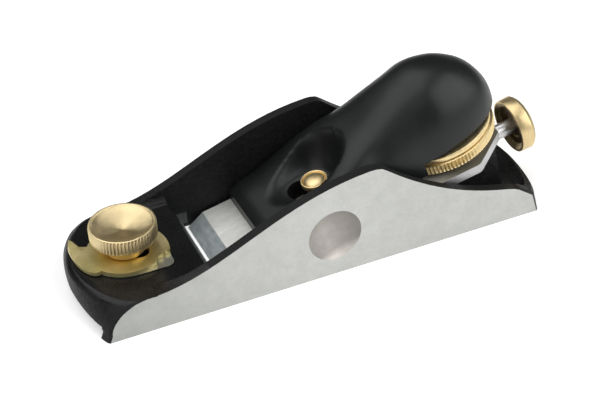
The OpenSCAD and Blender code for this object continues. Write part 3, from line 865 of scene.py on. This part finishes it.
def make_cap_screw():
    foot, shank_r, r, top = -7.6, 3, 4.5, 11.6
    shank = [(0, foot), (shank_r - 0.4, foot), (shank_r, foot + 0.4), (shank_r, top - 2.1)]
    head = [(r - 0.6, top - 2.1), (r - 0.15, top - 1.8), (r, top - 1.4), (r, top - 0.25),
            (r - 0.08, top - 0.05), (r - 0.3, top), (r - 0.52, top - 0.08), (r - 0.6, top - 0.3)]
    crown_r, crown_h, crown_z = r - 0.68, 1.6, top - 0.95
    crown = [(crown_r * math.cos(math.radians(a)), crown_z + crown_h * math.sin(math.radians(a)))
             for a in range(12, 90, 6)] + [(0, crown_z + crown_h)]
    mesh = turned("cap_screw_head", shank + head + crown, 96, SMALL_BRASS)
    mesh.transform(bed @ Matrix.Translation((SCREW_S * MM, 0, 0)))
    add_piece("cap_screw_head", mesh, "cap_screw_body", "cap_screw")


ADJUSTER_FRAME = frame_at(bed @ (Vector((ADJUSTER_S, 0, -SPINDLE_DROP)) * MM), spindle_axis, -Z_AXIS)


def make_adjuster_knob():
    r, recess_floor, dome_foot = ADJUSTER_R, 1.6, 4.5
    hub = [(SPINDLE_R, 2), (4.1, 2), (4.45, 1.75), (4.6, recess_floor)]
    recess = [(r - 2.7, recess_floor), (r - 2.5, 1.5), (r - 1.2, 0.2), (r - 1, 0.06), (r - 0.85, 0)]
    band = [(r - 0.4, 0), (r - 0.12, 0.1), (r, 0.35), (r + 0.1, 2.2), (r + 0.17, 4.1), (r + 0.14, 4.35),
            (r + 0.03, dome_foot)]
    dome = [(r - 0.3, 4.95), (r - 1, 5.55), (r - 2, 6.1), (r - 3.4, 6.58), (r - 5.4, 7.03), (r - 7.4, 7.28),
            (0, 7.38)]
    mesh = turned("adjuster_knob_turned", hub + recess + band + dome, 128, SMALL_BRASS)
    mesh.materials.append(SHADE_PAINTED_BRASS)
    mesh.materials.append(DOME_BRASS)
    # painted shade: the recess's face and the dome take the darker brasses
    for face in mesh.polygons:
        x, y, z = face.center / MM
        if math.hypot(x, y) < r - 2.4 and z < hub[0][1] + 0.1:
            face.material_index = 1
        elif z > dome_foot:
            face.material_index = 2
    mesh.transform(ADJUSTER_FRAME)
    add_piece("adjuster_knob_turned", mesh, "adjuster", "adjuster_knob")


def make_spindle():
    front, thread_r, step, pitch = SPINDLE_FRONT_S - ADJUSTER_S, 2.45, 0.1, 0.8
    tip = [(0, front), (1.9, front), (2.3, front + 0.5)]
    thread = [(thread_r, front + 0.6 + step * k) for k in range(132)]
    shank = [(thread_r, front + 13.9), (SPINDLE_R, front + 14), (SPINDLE_R, 2), (SPINDLE_R, 4.2), (0, 4.2)]
    mesh = turned("adjuster_spindle_threaded", tip + thread + shank, 48, STAINLESS,
                  cut=(thread[0][1], thread[-1][1]), depth=0.35, turns=1 / (pitch * MM), crease=50)
    mesh.transform(ADJUSTER_FRAME)
    add_piece("adjuster_spindle_threaded", mesh, "adjuster", "adjuster_spindle")


make_front_knob()
make_lock_wheel()
make_cap_screw()
make_adjuster_knob()
make_spindle()


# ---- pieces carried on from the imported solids, with their edges eased ----

BODY_PAINTS = [CAST, DECK, IRON, RECESS, SATIN, MILLED, PAD, NOSE]
BLADE_PAINTS = [BLADE, BEVEL, BLADE_EDGE]
CHEEK_TOP_W = 3.6       # a little over the cheek's thickness, in mm
BEVEL_ANGLE = math.radians(27)


def eased(node, name, body, width, materials, paint=None, angle=30, segments=2):
    """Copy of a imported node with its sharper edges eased; the width is in mm."""
    bm = merged_copy(node)
    if paint:
        paint(bm)
    mesh = bpy.data.meshes.new(name)
    bm.to_mesh(mesh)
    bm.free()
    for material in materials:
        mesh.materials.append(material)
    mesh = with_modifiers(name, mesh, bevel(width, angle, segments))
    smooth_by_angle(mesh, 30)
    mesh = with_modifiers(name, mesh, ("WEIGHTED_NORMAL", {"keep_sharp": True}))
    add_piece(name, mesh, body, node)


def body_paint(place, way):
    """Finish of a face of the casting, from its middle in mm and its normal."""
    inside = HALF_W / MM - abs(place.y)  # depth inwards from the cheek's outside
    facing_out = way.y * place.y
    from_recess = math.hypot(place.x - RECESS_PLACE.x / MM, place.z - RECESS_PLACE.z / MM)
    if abs(way.y) > 0.995 and inside < 0.05 or way.z < -0.99 and place.z < 0.1:
        return IRON
    if inside < 2 and facing_out > 0 and from_recess < RECESS_R / MM + 0.05:
        return RECESS
    if inside < CHEEK_TOP_W - 0.2 and facing_out < 0 and place.x < -32.9 and place.z < 5.9:
        return MILLED
    if way.z > 0.99 and place.x < -45 and abs(place.y) < 12.6 and place.z > 12.5:
        return PAD
    if way.z > 0.75 and place.x < -39.5 and place.z > 4.2:
        return DECK
    if way.z > 0.3 and inside < CHEEK_TOP_W:
        return SATIN
    if way.x < -0.05 and place.x < -55:
        return NOSE
    return CAST


def paint_body(bm):
    for face in bm.faces:
        place = face.calc_center_median() / MM
        face.material_index = BODY_PAINTS.index(body_paint(place, face.normal))


def paint_blade(bm):
    """Rounds the blade's rear corners, then paints its flats, its ground bevel and its edges."""
    corners = [e for e in bm.edges
               if abs((e.verts[1].co - e.verts[0].co).normalized().dot(bed_normal)) > 0.99
               and min(v.co.x for v in e.verts) > 50 * MM and e.calc_length() > 3 * MM]
    bmesh.ops.bevel(bm, geom=corners, offset=0.9 * MM, segments=4, profile=0.5, affect="EDGES")
    lean = BED_ANGLE + BEVEL_ANGLE
    bevel_way = Vector((-math.sin(lean), 0, math.cos(lean)))
    for face in bm.faces:
        paint = BLADE
        if face.normal.dot(bevel_way) > 0.99:
            paint = BEVEL
        elif abs(face.normal.dot(bed_normal)) < 0.2:
            paint = BLADE_EDGE
        face.material_index = BLADE_PAINTS.index(paint)


eased("body_casting", "plane_body", "body", 0.3, BODY_PAINTS, paint_body)
eased("blade", "blade_ground", "blade_body", 0.08, BLADE_PAINTS, paint_blade, angle=20)
eased("toe_piece", "toe_piece_ground", "toe", 0.15, [IRON])
eased("eccentric_lever", "eccentric_lever_pressed", "mouth_lever", 0.5, [LEVER_BRASS], angle=35,
      segments=3)


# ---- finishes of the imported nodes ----

NODE_FINISHES = {
    "body_casting": CAST, "lever_pin": STEEL, "toe_piece": IRON, "toe_stud": STEEL,
    "eccentric_lever": LEVER_BRASS, "front_knob": KNOB_BRASS, "blade": BLADE, "lever_cap": CAP,
    "wheel_stud": STEEL, "thrust_washer": STEEL, "lock_wheel": WHEEL_BRASS, "cap_screw": SMALL_BRASS,
    "pivot_post": STEEL, "adjuster_spindle": STAINLESS, "spindle_collar": STEEL, "spindle_clip": DARK_STEEL,
    "adjuster_knob": SMALL_BRASS, "knob_grub_screw": DARK_STEEL, "blade_carriage": SMALL_BRASS,
    "drive_pin": STEEL,
}
for node, finish in NODE_FINISHES.items():
    cad[node].data.materials.clear()
    cad[node].data.materials.append(finish)
